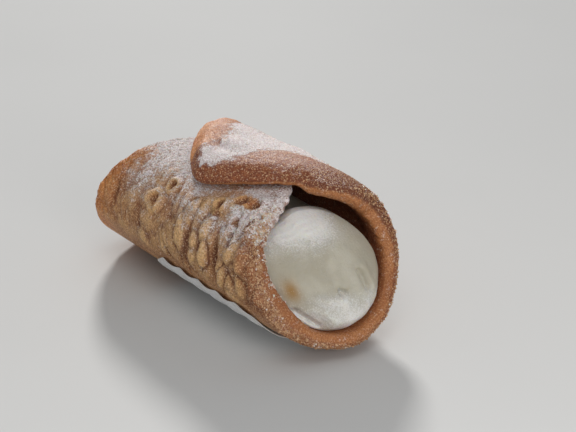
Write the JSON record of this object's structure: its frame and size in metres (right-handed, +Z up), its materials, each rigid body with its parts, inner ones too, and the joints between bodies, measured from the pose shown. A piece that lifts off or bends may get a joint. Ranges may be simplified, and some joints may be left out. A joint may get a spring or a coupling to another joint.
{
  "type": "cannoli",
  "caption": "Fried dough tube with a lapped edge and slanted mouths, filled with sweet cream and dusted with sugar, in a pleated white paper case.",
  "frame": {"origin": "centre of the bounding box on the plane the paper case stands on", "axes": "+X along the tube towards the mouth with the larger lip, +Y towards the side the outer flap comes over from, +Z up"},
  "size_m": [0.0708, 0.0348, 0.0313],
  "materials": {
    "fried_dough": "blistered golden-brown fried crust dusted with powdered sugar",
    "cream": "smooth moist ivory cream with a light dust of sugar",
    "paper": "thin white pleated baking paper"
  },
  "bodies": {
    "root": {"shell": "fried_dough", "cream": "cream", "paper_case": "paper"}
  },
  "joints": []
}
